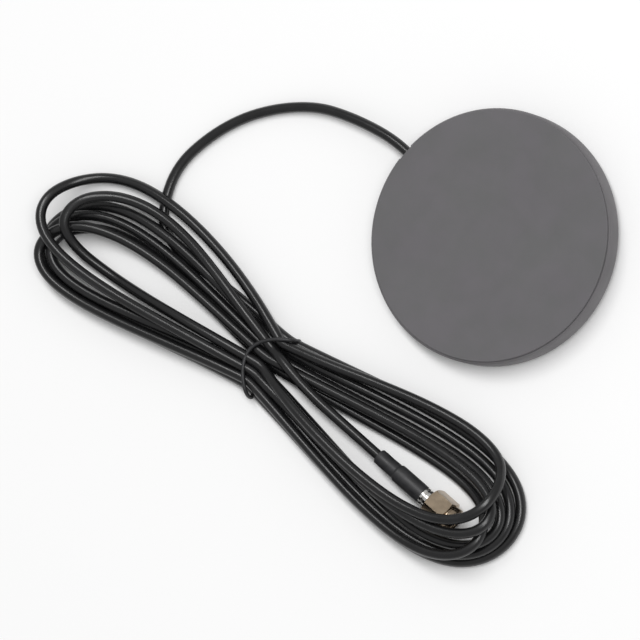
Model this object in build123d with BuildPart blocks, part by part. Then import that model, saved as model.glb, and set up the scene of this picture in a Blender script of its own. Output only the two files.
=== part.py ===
from build123d import *
import os
from math import cos, pi, radians, sin, sqrt, tan

# Round loop antenna puck with a tied coaxial lead and a screw-on coaxial plug.
# Millimetres, +Z up. The puck lies on its closed cover with the pad up. The origin is the
# middle of the face that it rests on, and the lead leaves through the wall towards -X.

os.makedirs("parts", exist_ok=True)

# Puck shell
housing_diameter = 68.0
housing_height = 7.8
housing_wall = 1.8
cover_thickness = 1.6  # closed face that the puck lies on
edge_radius = 2.8  # rounded outer edge of that face
mouth_chamfer = 0.3
lip_width = 0.9  # wall left standing round the closing plate
plate_thickness = 1.2
plate_clearance = 0.12
pad_thickness = 0.8
pad_inset = 0.6  # from the housing's outside to the pad's edge

# Screws of the closing plate and their bosses
screw_count = 4
boss_inset = 1.82  # from the former's inside to the bosses
screw_diameter = 2.0
screw_length = 5.0
screw_head_diameter = 3.6
screw_head_drop = 0.05  # head's top below the plate's face
screw_recess_length = 1.8
screw_recess_width = 0.4
screw_recess_depth = 0.6
countersink_gap = 0.05
plate_hole_gap = 0.1
thread_gap = 0.02  # between a screw and the hole it bites into
tip_gap = 0.2  # hole left below a screw's tip
boss_wall = 1.28

# Coil former, loop winding and the plate's ring that holds the former down
former_gap = 0.2  # former to the housing's wall
former_width = 3.4
former_height = 1.8
former_flange = 0.45
former_web = 0.8
winding_gap = 0.05
winding_recess = 0.4
former_rib_count = 6
former_rib_length = 3.0
former_rib_thickness = 0.8
former_rib_gap = 0.1
hold_ring_width = 1.0
hold_ring_gap = 0.15
hold_ring_cut = 6.0
tail_wire_diameter = 0.4
tail_spacing = 6.0
tail_slot_margin = 1.0
tail_rise = 1.3  # wire above the board before it turns down
tail_bend_radius = 0.5

# Circuit board on its posts
board_length = 30.0
board_width = 24.0
board_thickness = 1.0
board_corner_radius = 1.0
board_standoff = 1.0
post_diameter = 4.0
post_inset = 3.0  # from the board's edges to its posts
board_screw_diameter = 1.7
board_screw_length = 2.6
board_screw_head_diameter = 3.2
board_screw_head_height = 1.0
board_screw_head_radius = 0.45
board_hole_gap = 0.1
solder_pad_inset = 2.3  # from the board's end to its solder pads
solder_diameter = 1.8
solder_height = 0.7
solder_neck = 0.15
solder_gap = 0.01

# Parts on the board
core_outer_diameter = 8.0
core_inner_diameter = 4.2
core_height = 1.8
core_x = 5.0
core_edge_radius = 0.25
turn_count = 10
turn_thickness = 0.3
turn_gap = 0.03
turn_corner_radius = 0.35
chip_length = 4.9
chip_width = 3.9
chip_height = 1.4
chip_standoff = 0.15
chip_chamfer = 0.25
chip_x = -4.5
leg_pitch = 1.27
leg_width = 0.42
leg_thickness = 0.2
leg_reach = 1.05
leg_foot = 0.5
small_part_length = 1.6
small_part_width = 0.8
capacitor_height = 0.8
capacitor_cap_length = 0.35
capacitor_cap_step = 0.03
resistor_height = 0.45

# Lead: jacket, screen, dielectric and conductor, and where each ends inside the puck
lead_diameter = 2.8
braid_diameter = 1.9
dielectric_diameter = 1.5
conductor_diameter = 0.5
layer_gap = 0.02
lead_height = 4.9  # lead's axis above the resting face
notch_width = 4.6
braid_strip = 1.3  # screen left bare beyond the jacket
dielectric_strip = 1.2  # dielectric left bare beyond the screen
pigtail_diameter = 0.6
pigtail_pad_y = 3.0
conductor_bend_radius = 0.6

# Strain relief: a ring crimped on the lead, caught between two forks of the housing
fork_inset = 6.35  # from the former's inside to the middle of the crimp ring
crimp_ring_length = 2.5
crimp_ring_wall = 0.22
fork_width = 8.0
fork_thickness = 1.2
fork_gap = 0.1
fork_slot_gap = 0.07
fork_plate_gap = 0.2

# Hank, cable tie and the free stretches of the lead
hank_height = 5.6
hank_edge_radius = 1.3
waist_x = -26.5
waist_groove_width = 4.0
waist_groove_depth = 1.1
waist_top_y = -57.2
waist_bottom_y = -76.6
waist_corner_radius = 1.3
tie_diameter = 1.0
tie_gap = 0.05
tie_edge_share = 0.45  # of the tie's thickness, rounded at each edge
tail_run = 17.0  # straight stretch of the lead behind the plug's ferrule
arc_share = 0.45  # of the shorter run beside a point

# Coaxial plug: a distance is measured along its axis from the rear of its collar
plug_x = 32.5
plug_y = -62.6
plug_height = 4.9
plug_turn = 3.0
nut_turn = 35.5
collar_diameter = 5.2
collar_length = 2.3
collar_chamfer = 0.2
neck_diameter = 4.6
ring_groove_diameter = 4.0
flange_diameter = 5.2
flange_rear = 5.9
flange_front = 7.0
sleeve_front = 7.9
sleeve_bore_diameter = 4.1
sleeve_bore_rear = 5.4
rear_bore_diameter = 2.8
rear_bore_start = 1.0
nut_rear = 2.6
nut_length = 8.7
nut_across_flats = 8.0
nut_hex_length = 6.6
nut_hex_chamfer = 0.45
nut_nose_diameter = 7.5
nut_nose_chamfer = 0.35
nut_lip_length = 1.6
nut_bore_diameter = 5.8
nut_bearing_gap = 0.05
nut_mouth_chamfer = 0.4
ring_thickness = 0.5
ring_outer_diameter = 5.2
ring_side_gap = 0.2
ring_slot_angle = 40.0
insulator_gap = 0.02
pin_diameter = 0.92
pin_front = 10.0
pin_tip_length = 0.5
pin_tip_diameter = 0.45
pin_rear = 1.6
gasket_thickness = 0.5
ferrule_diameter = 2.3
ferrule_length = 8.5
ferrule_gap = 0.3
crimp_sleeve_diameter = 4.0
crimp_sleeve_length = 9.4
crimp_sleeve_gap = 0.05
crimp_sleeve_front_gap = 0.2
boot_rear_diameter = 4.3
boot_front_diameter = 5.06
boot_length = 16.8
boot_step_length = 0.5
boot_end_chamfer = 0.25
boot_gap = 0.03
lead_gap = 0.03

# Places that follow from the sizes above
housing_radius = housing_diameter / 2
cavity_radius = housing_radius - housing_wall
rebate_radius = housing_radius - lip_width
plate_radius = rebate_radius - plate_clearance
plate_bottom = housing_height - plate_thickness
pad_radius = housing_radius - pad_inset
lead_radius = lead_diameter / 2

former_outer = cavity_radius - former_gap
former_inner = former_outer - former_width
former_middle = former_outer - former_width / 2
former_top = cover_thickness + former_height
groove_radius = former_inner + former_web
groove_bottom = cover_thickness + former_flange
groove_top = former_top - former_flange
winding_inner = groove_radius + winding_gap
winding_outer = former_outer - winding_recess
screw_circle_radius = former_inner - boss_inset - boss_wall - screw_diameter / 2

board_bottom = cover_thickness + board_standoff
board_top = board_bottom + board_thickness
post_spacing_x = board_length - 2 * post_inset
post_spacing_y = board_width - 2 * post_inset
pad_x = board_length / 2 - solder_pad_inset
core_bottom = board_top + turn_thickness + 2 * turn_gap
core_middle = core_bottom + core_height / 2
core_mean_radius = (core_outer_diameter + core_inner_diameter) / 4
core_section_width = (core_outer_diameter - core_inner_diameter) / 2

crimp_ring_x = fork_inset - former_inner
fork_offset = crimp_ring_length / 2 + fork_gap + fork_thickness / 2
dielectric_end_x = -board_length / 2
braid_end_x = dielectric_end_x - dielectric_strip
jacket_end_x = braid_end_x - braid_strip

plug_direction = Vector(cos(radians(plug_turn)), sin(radians(plug_turn)), 0)
plug_origin = Vector(plug_x, plug_y, plug_height)
plug_across = Vector(sin(radians(plug_turn)), -cos(radians(plug_turn)), 0)
plug_axis = Axis(plug_origin, plug_direction)
plug_face = Plane(origin=plug_origin, x_dir=(0, 0, 1), z_dir=plug_direction)
plug_side = Plane(origin=plug_origin, x_dir=plug_direction, z_dir=plug_across)
nut_front = nut_rear + nut_length
lip_front = nut_rear + nut_lip_length
ring_rear = lip_front + ring_side_gap
ring_front = ring_rear + ring_thickness

# Housing: cup with a rounded edge, a rebate for the plate and a U notch for the lead
with BuildPart() as housing:
    with BuildSketch():
        Circle(housing_radius)
    extrude(amount=housing_height)
    fillet(housing.edges().group_by(Axis.Z)[0], edge_radius)
    chamfer(housing.edges().group_by(Axis.Z)[-1], mouth_chamfer)
    with BuildSketch(Plane.XY.offset(cover_thickness)):
        Circle(cavity_radius)
    extrude(amount=housing_height, mode=Mode.SUBTRACT)
    with BuildSketch(Plane.XY.offset(plate_bottom)):
        Circle(rebate_radius)
    extrude(amount=housing_height, mode=Mode.SUBTRACT)
    # bosses of the plate's screws
    with BuildSketch(Plane.XY.offset(cover_thickness)):
        with PolarLocations(screw_circle_radius, screw_count, start_angle=45):
            Circle(screw_diameter / 2 + boss_wall)
    extrude(amount=plate_bottom - cover_thickness)
    # posts of the board
    with BuildSketch(Plane.XY.offset(cover_thickness)):
        with GridLocations(post_spacing_x, post_spacing_y, 2, 2):
            Circle(post_diameter / 2)
    extrude(amount=board_standoff)
    # ribs that centre the coil former
    with BuildSketch(Plane.XY.offset(cover_thickness)):
        with PolarLocations(
            former_inner - former_rib_gap - former_rib_thickness / 2,
            former_rib_count,
            start_angle=180 / former_rib_count,
        ):
            Rectangle(former_rib_thickness, former_rib_length)
    extrude(amount=former_height)
    # two forks that hold the lead's crimp ring
    with BuildSketch(Plane.XY.offset(cover_thickness)):
        with Locations((crimp_ring_x - fork_offset, 0), (crimp_ring_x + fork_offset, 0)):
            Rectangle(fork_thickness, fork_width)
    extrude(amount=plate_bottom - fork_plate_gap - cover_thickness)
    # the forks' slots, open at the top
    with BuildSketch(Plane.YZ.offset(crimp_ring_x - 2 * fork_offset)):
        with Locations((0, lead_height)):
            Circle(lead_radius + fork_slot_gap)
        with Locations((0, lead_height + housing_height / 2)):
            Rectangle(lead_diameter + 2 * fork_slot_gap, housing_height)
    extrude(amount=4 * fork_offset, mode=Mode.SUBTRACT)
    # the notch in the wall, open at the rim
    with BuildSketch(Plane.YZ.offset(-housing_radius)):
        with Locations((0, lead_height)):
            Circle(notch_width / 2)
        with Locations((0, lead_height + housing_height / 2)):
            Rectangle(notch_width, housing_height)
    extrude(amount=housing_radius - former_outer + former_width / 2, mode=Mode.SUBTRACT)
    # screw holes
    with Locations(Plane.XY.offset(plate_bottom)):
        with PolarLocations(screw_circle_radius, screw_count, start_angle=45):
            Hole(
                screw_diameter / 2 + thread_gap,
                depth=screw_length + tip_gap - plate_thickness + screw_head_drop,
            )
    with Locations(Plane.XY.offset(board_bottom)):
        with GridLocations(post_spacing_x, post_spacing_y, 2, 2):
            Hole(
                board_screw_diameter / 2 + thread_gap,
                depth=board_screw_length + tip_gap - board_thickness,
            )
housing.part.label = "housing"
export_step(housing.part, "parts/housing.step")

# Closing plate: countersunk holes and a ring that holds the coil former down
with BuildPart() as base_plate:
    with BuildSketch(Plane.XY.offset(plate_bottom)):
        Circle(plate_radius)
    extrude(amount=plate_thickness)
    with BuildSketch(Plane.XY.offset(former_top + hold_ring_gap)):
        Circle(former_middle + hold_ring_width / 2)
        Circle(former_middle - hold_ring_width / 2, mode=Mode.SUBTRACT)
        with Locations((-former_middle, 0)):
            Rectangle(former_width, hold_ring_cut, mode=Mode.SUBTRACT)
    extrude(amount=plate_bottom - former_top - hold_ring_gap)
    with Locations(Plane.XY.offset(housing_height)):
        with PolarLocations(screw_circle_radius, screw_count, start_angle=45):
            CounterSinkHole(
                screw_diameter / 2 + plate_hole_gap,
                screw_head_diameter / 2 + screw_head_drop + countersink_gap,
                depth=plate_thickness,
                counter_sink_angle=90,
            )
base_plate.part.label = "base_plate"
export_step(base_plate.part, "parts/base_plate.step")

# Pad stuck on the plate, over the heads of its screws
with BuildPart() as face_pad:
    with BuildSketch(Plane.XY.offset(housing_height)):
        Circle(pad_radius)
    extrude(amount=pad_thickness)
face_pad.part.label = "face_pad"
export_step(face_pad.part, "parts/face_pad.step")

# Countersunk screws with a cross recess
screw_top = housing_height - screw_head_drop
head_depth = (screw_head_diameter - screw_diameter) / 2
with BuildPart() as base_screws:
    with PolarLocations(screw_circle_radius, screw_count, start_angle=45):
        with Locations((0, 0, screw_top)):
            Cylinder(
                screw_diameter / 2,
                screw_length,
                align=(Align.CENTER, Align.CENTER, Align.MAX),
            )
            Cone(
                screw_diameter / 2,
                screw_head_diameter / 2,
                head_depth,
                align=(Align.CENTER, Align.CENTER, Align.MAX),
            )
    with BuildSketch(Plane.XY.offset(screw_top)):
        with PolarLocations(screw_circle_radius, screw_count, start_angle=45):
            Rectangle(screw_recess_length, screw_recess_width)
            Rectangle(screw_recess_width, screw_recess_length)
    extrude(amount=-screw_recess_depth, mode=Mode.SUBTRACT)
base_screws.part.label = "base_screws"
export_step(base_screws.part, "parts/base_screws.step")

# Coil former: flat ring with an outward groove and a slot for the winding's ends
with BuildPart() as coil_former:
    with BuildSketch(Plane.XZ):
        with BuildLine():
            Polyline(
                (former_inner, cover_thickness),
                (former_outer, cover_thickness),
                (former_outer, groove_bottom),
                (groove_radius, groove_bottom),
                (groove_radius, groove_top),
                (former_outer, groove_top),
                (former_outer, former_top),
                (former_inner, former_top),
                close=True,
            )
        make_face()
    revolve(axis=Axis.Z)
    with BuildSketch(Plane.XY.offset(groove_bottom)):
        with Locations((former_inner, 0)):
            Rectangle(2 * former_web, tail_spacing + 2 * tail_slot_margin)
    extrude(amount=groove_top - groove_bottom, mode=Mode.SUBTRACT)
coil_former.part.label = "coil_former"
export_step(coil_former.part, "parts/coil_former.step")

# Loop winding, its turns as one ring
with BuildPart() as loop_winding:
    with BuildSketch(Plane.XY.offset(groove_bottom + winding_gap)):
        Circle(winding_outer)
        Circle(winding_inner, mode=Mode.SUBTRACT)
    extrude(amount=groove_top - groove_bottom - 2 * winding_gap)
loop_winding.part.label = "loop_winding"
export_step(loop_winding.part, "parts/loop_winding.step")

# The winding's two ends: through the former's slot, over the board's end, down to a pad
tail_wire_z = (groove_bottom + groove_top) / 2
tail_start_x = sqrt(winding_inner**2 - (tail_spacing / 2) ** 2) - winding_gap
tail_clear_x = board_length / 2 + 2 * tail_wire_diameter
with BuildPart() as loop_tails:
    for tail_y in (-tail_spacing / 2, tail_spacing / 2):
        with BuildLine() as tail_route:
            FilletPolyline(
                (tail_start_x, tail_y, tail_wire_z),
                (tail_clear_x + tail_rise, tail_y, tail_wire_z),
                (tail_clear_x, tail_y, board_top + tail_rise),
                (pad_x, tail_y, board_top + tail_rise),
                (pad_x, tail_y, board_top),
                radius=tail_bend_radius,
            )
        with BuildSketch(tail_route.line ^ 0):
            Circle(tail_wire_diameter / 2)
        sweep(path=tail_route.line)
loop_tails.part.label = "loop_tails"
export_step(loop_tails.part, "parts/loop_tails.step")

# Circuit board
with BuildPart() as circuit_board:
    with BuildSketch(Plane.XY.offset(board_bottom)):
        RectangleRounded(board_length, board_width, board_corner_radius)
        with GridLocations(post_spacing_x, post_spacing_y, 2, 2):
            Circle(board_screw_diameter / 2 + board_hole_gap, mode=Mode.SUBTRACT)
    extrude(amount=board_thickness)
circuit_board.part.label = "circuit_board"
export_step(circuit_board.part, "parts/circuit_board.step")

# Pan-head screws of the board
with BuildPart() as board_screws:
    with BuildSketch(Plane.XY.offset(board_top - board_screw_length)):
        with GridLocations(post_spacing_x, post_spacing_y, 2, 2):
            Circle(board_screw_diameter / 2)
    extrude(amount=board_screw_length)
    with BuildSketch(Plane.XY.offset(board_top)):
        with GridLocations(post_spacing_x, post_spacing_y, 2, 2):
            Circle(board_screw_head_diameter / 2)
    extrude(amount=board_screw_head_height)
    fillet(board_screws.edges().group_by(Axis.Z)[-1], board_screw_head_radius)
board_screws.part.label = "board_screws"
export_step(board_screws.part, "parts/board_screws.step")

# Small ring core of the matching transformer
with BuildPart() as transformer_core:
    with BuildSketch(Plane.XY.offset(core_bottom)):
        with Locations((core_x, 0)):
            Circle(core_outer_diameter / 2)
            Circle(core_inner_diameter / 2, mode=Mode.SUBTRACT)
    extrude(amount=core_height)
    fillet(transformer_core.edges().group_by(Axis.Z)[0], core_edge_radius)
    fillet(transformer_core.edges().group_by(Axis.Z)[-1], core_edge_radius)
transformer_core.part.label = "transformer_core"
export_step(transformer_core.part, "parts/transformer_core.step")

# Its winding: turns round the core's section
turn_inner_width = core_section_width + 2 * turn_gap
turn_inner_height = core_height + 2 * turn_gap
with BuildPart() as transformer_winding:
    for turn in range(turn_count):
        turn_angle = 360 / turn_count * (turn + 0.5)
        turn_out = Vector(cos(radians(turn_angle)), sin(radians(turn_angle)), 0)
        turn_plane = Plane(
            origin=Vector(core_x, 0, core_middle) + turn_out * core_mean_radius,
            x_dir=turn_out,
            z_dir=(-turn_out.Y, turn_out.X, 0),
        )
        with BuildSketch(turn_plane):
            RectangleRounded(
                turn_inner_width + 2 * turn_thickness,
                turn_inner_height + 2 * turn_thickness,
                turn_corner_radius,
            )
            Rectangle(turn_inner_width, turn_inner_height, mode=Mode.SUBTRACT)
        extrude(amount=turn_thickness / 2, both=True)
transformer_winding.part.label = "transformer_winding"
export_step(transformer_winding.part, "parts/transformer_winding.step")

# Eight-legged amplifier chip
with BuildPart() as amplifier_chip:
    with BuildSketch(Plane.XY.offset(board_top + chip_standoff)):
        with Locations((chip_x, 0)):
            Rectangle(chip_length, chip_width)
    extrude(amount=chip_height)
    chamfer(amplifier_chip.edges().group_by(Axis.Z)[-1], chip_chamfer)
    leg_top = board_top + chip_standoff + chip_height / 2
    leg_start_x = chip_x - 1.5 * leg_pitch
    leg_drop_y = chip_width / 2 + leg_reach - leg_foot
    for leg in range(4):
        leg_plane = Plane.YZ.offset(leg_start_x + leg * leg_pitch - leg_width / 2)
        with BuildSketch(leg_plane):
            for side in (1, -1):
                with BuildLine():
                    Polyline(
                        (side * chip_width / 2, leg_top),
                        (side * leg_drop_y, leg_top),
                        (side * leg_drop_y, board_top + leg_thickness),
                        (side * (chip_width / 2 + leg_reach), board_top + leg_thickness),
                        (side * (chip_width / 2 + leg_reach), board_top),
                        (side * (leg_drop_y - leg_thickness), board_top),
                        (side * (leg_drop_y - leg_thickness), leg_top - leg_thickness),
                        (side * chip_width / 2, leg_top - leg_thickness),
                        close=True,
                    )
                make_face()
        extrude(amount=leg_width)
amplifier_chip.part.label = "amplifier_chip"
export_step(amplifier_chip.part, "parts/amplifier_chip.step")

# Small capacitors with metal ends
capacitor_places = ((-9.5, -4.6), (-4.5, -6.4), (-0.5, 6.2), (-4.5, 6.4), (8.5, 7.4))
with BuildPart() as chip_capacitors:
    with BuildSketch(Plane.XY.offset(board_top + capacitor_cap_step)):
        with Locations(*capacitor_places):
            Rectangle(
                small_part_length - capacitor_cap_length,
                small_part_width - 2 * capacitor_cap_step,
            )
    extrude(amount=capacitor_height - 2 * capacitor_cap_step)
    with BuildSketch(Plane.XY.offset(board_top)):
        with Locations(*capacitor_places):
            with GridLocations(small_part_length - capacitor_cap_length, 0, 2, 1):
                Rectangle(capacitor_cap_length, small_part_width)
    extrude(amount=capacitor_height)
chip_capacitors.part.label = "chip_capacitors"
export_step(chip_capacitors.part, "parts/chip_capacitors.step")

# Small resistors
resistor_places = ((-9.0, 6.8), (-9.0, -7.2), (0.0, -7.0), (3.5, -8.2), (7.5, -8.0), (4.0, 8.4))
with BuildPart() as chip_resistors:
    with BuildSketch(Plane.XY.offset(board_top)):
        with Locations(*resistor_places):
            Rectangle(small_part_length, small_part_width)
    extrude(amount=resistor_height)
chip_resistors.part.label = "chip_resistors"
export_step(chip_resistors.part, "parts/chip_resistors.step")

# Solder joints: conductor, pigtail and the winding's two ends
solder_wires = (
    (-pad_x, 0, conductor_diameter / 2),
    (-pad_x, pigtail_pad_y, pigtail_diameter / 2),
    (pad_x, -tail_spacing / 2, tail_wire_diameter / 2),
    (pad_x, tail_spacing / 2, tail_wire_diameter / 2),
)
with BuildPart() as solder_joints:
    for wire_x, wire_y, wire_radius in solder_wires:
        with Locations((wire_x, wire_y, board_top)):
            Cone(
                solder_diameter / 2,
                wire_radius + solder_neck,
                solder_height,
                align=(Align.CENTER, Align.CENTER, Align.MIN),
            )
            Cylinder(
                wire_radius + solder_gap,
                solder_height,
                align=(Align.CENTER, Align.CENTER, Align.MIN),
                mode=Mode.SUBTRACT,
            )
solder_joints.part.label = "solder_joints"
export_step(solder_joints.part, "parts/solder_joints.step")

# Ring crimped on the lead between the forks
with BuildPart() as lead_crimp_ring:
    with BuildSketch(Plane.YZ.offset(crimp_ring_x - crimp_ring_length / 2)):
        with Locations((0, lead_height)):
            Circle(lead_radius + layer_gap + crimp_ring_wall)
            Circle(lead_radius + layer_gap, mode=Mode.SUBTRACT)
    extrude(amount=crimp_ring_length)
lead_crimp_ring.part.label = "lead_crimp_ring"
export_step(lead_crimp_ring.part, "parts/lead_crimp_ring.step")

# Jacket of the lead inside the puck
with BuildPart() as lead_inner:
    with BuildSketch(Plane.YZ.offset(-housing_radius)):
        with Locations((0, lead_height)):
            Circle(lead_radius)
            Circle(braid_diameter / 2 + layer_gap, mode=Mode.SUBTRACT)
    extrude(amount=housing_radius + jacket_end_x)
lead_inner.part.label = "lead_inner"
export_step(lead_inner.part, "parts/lead_inner.step")

# Screen, drawn out into a pigtail beside the bare dielectric
pigtail_offset = braid_diameter / 2 + pigtail_diameter / 4
with BuildPart() as lead_braid:
    with BuildSketch(Plane.YZ.offset(-housing_radius)):
        with Locations((0, lead_height)):
            Circle(braid_diameter / 2)
            Circle(dielectric_diameter / 2 + layer_gap, mode=Mode.SUBTRACT)
    extrude(amount=housing_radius + braid_end_x)
    with BuildLine() as pigtail_route:
        FilletPolyline(
            (jacket_end_x + pigtail_diameter / 2, pigtail_offset, lead_height),
            (braid_end_x, pigtail_offset, lead_height),
            (-pad_x, pigtail_pad_y, lead_height),
            (-pad_x, pigtail_pad_y, board_top),
            radius=pigtail_diameter,
        )
    with BuildSketch(pigtail_route.line ^ 0):
        Circle(pigtail_diameter / 2)
    sweep(path=pigtail_route.line)
lead_braid.part.label = "lead_braid"
export_step(lead_braid.part, "parts/lead_braid.step")

# Dielectric
with BuildPart() as lead_dielectric:
    with BuildSketch(Plane.YZ.offset(-housing_radius)):
        with Locations((0, lead_height)):
            Circle(dielectric_diameter / 2)
            Circle(conductor_diameter / 2 + layer_gap, mode=Mode.SUBTRACT)
    extrude(amount=housing_radius + dielectric_end_x)
lead_dielectric.part.label = "lead_dielectric"
export_step(lead_dielectric.part, "parts/lead_dielectric.step")

# Conductor, bent down to its pad
with BuildPart() as lead_conductor:
    with BuildLine() as conductor_route:
        FilletPolyline(
            (-housing_radius, 0, lead_height),
            (-pad_x, 0, lead_height),
            (-pad_x, 0, board_top),
            radius=conductor_bend_radius,
        )
    with BuildSketch(conductor_route.line ^ 0):
        Circle(conductor_diameter / 2)
    sweep(path=conductor_route.line)
lead_conductor.part.label = "lead_conductor"
export_step(lead_conductor.part, "parts/lead_conductor.step")


def arc_radii(route):
    """Radius at each inner point of a route, as large as its two runs allow."""
    radii = []
    for before, here, after in zip(route, route[1:], route[2:]):
        run_in = Vector(*here) - Vector(*before)
        run_out = Vector(*after) - Vector(*here)
        half_turn = radians(run_in.get_angle(run_out)) / 2
        radii.append(arc_share * min(run_in.length, run_out.length) / tan(half_turn))
    return radii


# Free stretch of the lead from the puck's wall to the hank
lead_route = (
    (-housing_radius, 0, lead_height),
    (-38.0, 0, lead_height),
    (-45.5, -1.5, 4.5),
    (-54.5, -4.5, 3.6),
    (-63.0, -8.5, 2.4),
    (-71.0, -15.5, lead_radius),
    (-77.5, -24.5, lead_radius),
    (-81.5, -35.0, lead_radius),
    (-83.0, -46.5, lead_radius),
    (-79.0, -56.5, lead_radius),
)
with BuildPart() as lead:
    with BuildLine() as lead_line:
        FilletPolyline(*lead_route, radius=arc_radii(lead_route))
    with BuildSketch(lead_line.line ^ 0):
        Circle(lead_radius)
    sweep(path=lead_line.line)
lead.part.label = "lead"
export_step(lead.part, "parts/lead.step")

# Stretch of the lead from the tie into the plug's boot
tail_end = -ferrule_length - ferrule_gap
tail_bend = plug_origin + plug_direction * (tail_end - tail_run)
tail_stop = plug_origin + plug_direction * tail_end
tail_route = (
    (-22.0, -62.8, 6.2),
    (-10.6, -63.5, 5.7),
    (tail_bend.X, tail_bend.Y, tail_bend.Z),
    (tail_stop.X, tail_stop.Y, tail_stop.Z),
)
with BuildPart() as lead_tail:
    with BuildLine() as tail_line:
        FilletPolyline(*tail_route, radius=arc_radii(tail_route))
    with BuildSketch(tail_line.line ^ 0):
        Circle(lead_radius)
    sweep(path=tail_line.line)
lead_tail.part.label = "lead_tail"
export_step(lead_tail.part, "parts/lead_tail.step")

# Hank of the lead: one closed solid of its outer shape, pinched and grooved at the tie
waist_middle_y = (waist_top_y + waist_bottom_y) / 2
waist_width = waist_top_y - waist_bottom_y
hank_outline = (
    (waist_x, waist_top_y),
    (-43.0, -55.9),
    (-66.4, -52.7),
    (-82.0, -54.1),
    (-96.5, -61.5),
    (-103.9, -72.0),
    (-103.0, -80.5),
    (-94.7, -89.6),
    (-83.0, -91.8),
    (-68.0, -89.5),
    (-40.9, -80.5),
    (waist_x, waist_bottom_y),
    (-7.8, -77.6),
    (10.0, -78.5),
    (24.9, -78.4),
    (39.8, -75.9),
    (53.3, -69.0),
    (59.5, -58.0),
    (57.0, -47.0),
    (46.0, -41.0),
    (31.0, -38.8),
    (17.9, -41.0),
    (0.0, -48.0),
    (-12.0, -53.2),
)
left_hole = (
    (-87.0, -78.0),
    (-82.9, -73.1),
    (-78.2, -69.8),
    (-71.1, -68.5),
    (-62.2, -69.5),
    (-54.0, -71.6),
    (-65.6, -74.6),
    (-75.4, -77.2),
)
right_hole = (
    (-6.0, -63.2),
    (10.0, -57.5),
    (25.0, -51.5),
    (38.0, -49.5),
    (46.0, -53.0),
    (48.5, -58.5),
    (46.5, -65.3),
    (40.0, -68.3),
    (36.0, -68.9),
    (24.0, -68.6),
    (10.0, -66.8),
)
with BuildPart() as lead_hank:
    with BuildSketch():
        with BuildLine():
            Spline(*hank_outline, periodic=True)
        make_face()
        with BuildLine():
            Spline(*left_hole, periodic=True)
        make_face(mode=Mode.SUBTRACT)
        with BuildLine():
            Spline(*right_hole, periodic=True)
        make_face(mode=Mode.SUBTRACT)
    extrude(amount=hank_height)
    fillet(lead_hank.edges().group_by(Axis.Z)[0], hank_edge_radius)
    fillet(lead_hank.edges().group_by(Axis.Z)[-1], hank_edge_radius)
    with BuildSketch(Plane.YZ.offset(waist_x - waist_groove_width / 2)):
        with Locations((waist_middle_y, hank_height / 2)):
            Rectangle(waist_width + hank_height, 2 * hank_height)
            RectangleRounded(
                waist_width - 2 * waist_groove_depth,
                hank_height - 2 * waist_groove_depth,
                waist_corner_radius,
                mode=Mode.SUBTRACT,
            )
    extrude(amount=waist_groove_width, mode=Mode.SUBTRACT)
lead_hank.part.label = "lead_hank"
export_step(lead_hank.part, "parts/lead_hank.step")

# Thin closed tie in the hank's groove
tie_offset = tie_gap + tie_diameter / 2
tie_half_width = waist_width / 2 - waist_groove_depth + tie_offset
tie_half_height = hank_height / 2 - waist_groove_depth + tie_offset
with BuildPart() as cable_tie:
    with BuildSketch(Plane.YZ.offset(waist_x)):
        with Locations((waist_middle_y, hank_height / 2)):
            RectangleRounded(
                2 * tie_half_width + tie_diameter,
                2 * tie_half_height + tie_diameter,
                waist_corner_radius + tie_offset + tie_diameter / 2,
            )
            RectangleRounded(
                2 * tie_half_width - tie_diameter,
                2 * tie_half_height - tie_diameter,
                waist_corner_radius + tie_offset - tie_diameter / 2,
                mode=Mode.SUBTRACT,
            )
    extrude(amount=tie_diameter / 2, both=True)
    fillet(cable_tie.edges().group_by(Axis.X)[0], tie_edge_share * tie_diameter)
    fillet(cable_tie.edges().group_by(Axis.X)[-1], tie_edge_share * tie_diameter)
cable_tie.part.label = "cable_tie"
export_step(cable_tie.part, "parts/cable_tie.step")

# Boot behind the plug: narrow on the lead, wide over the crimp sleeve
sleeve_rear = -crimp_sleeve_front_gap - crimp_sleeve_length
boot_step_rear = sleeve_rear - boot_step_length - boot_gap
boot_rear_bore = lead_radius + lead_gap
boot_front_bore = crimp_sleeve_diameter / 2 + boot_gap
with BuildPart() as shrink_boot:
    with BuildSketch(plug_side):
        with BuildLine():
            Polyline(
                (-boot_length, boot_rear_bore),
                (-boot_length, boot_rear_diameter / 2 - boot_end_chamfer),
                (-boot_length + boot_end_chamfer, boot_rear_diameter / 2),
                (boot_step_rear, boot_rear_diameter / 2),
                (boot_step_rear + boot_step_length, boot_front_diameter / 2),
                (-boot_end_chamfer, boot_front_diameter / 2),
                (0, boot_front_diameter / 2 - boot_end_chamfer),
                (0, boot_front_bore),
                (sleeve_rear - boot_gap, boot_front_bore),
                (sleeve_rear - boot_gap, boot_rear_bore),
                close=True,
            )
        make_face()
    revolve(axis=plug_axis)
shrink_boot.part.label = "shrink_boot"
export_step(shrink_boot.part, "parts/shrink_boot.step")

# Crimp sleeve under the boot
with BuildPart() as crimp_sleeve:
    with BuildSketch(plug_face.offset(sleeve_rear)):
        Circle(crimp_sleeve_diameter / 2)
        Circle(lead_radius + crimp_sleeve_gap, mode=Mode.SUBTRACT)
    extrude(amount=crimp_sleeve_length)
crimp_sleeve.part.label = "crimp_sleeve"
export_step(crimp_sleeve.part, "parts/crimp_sleeve.step")

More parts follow.
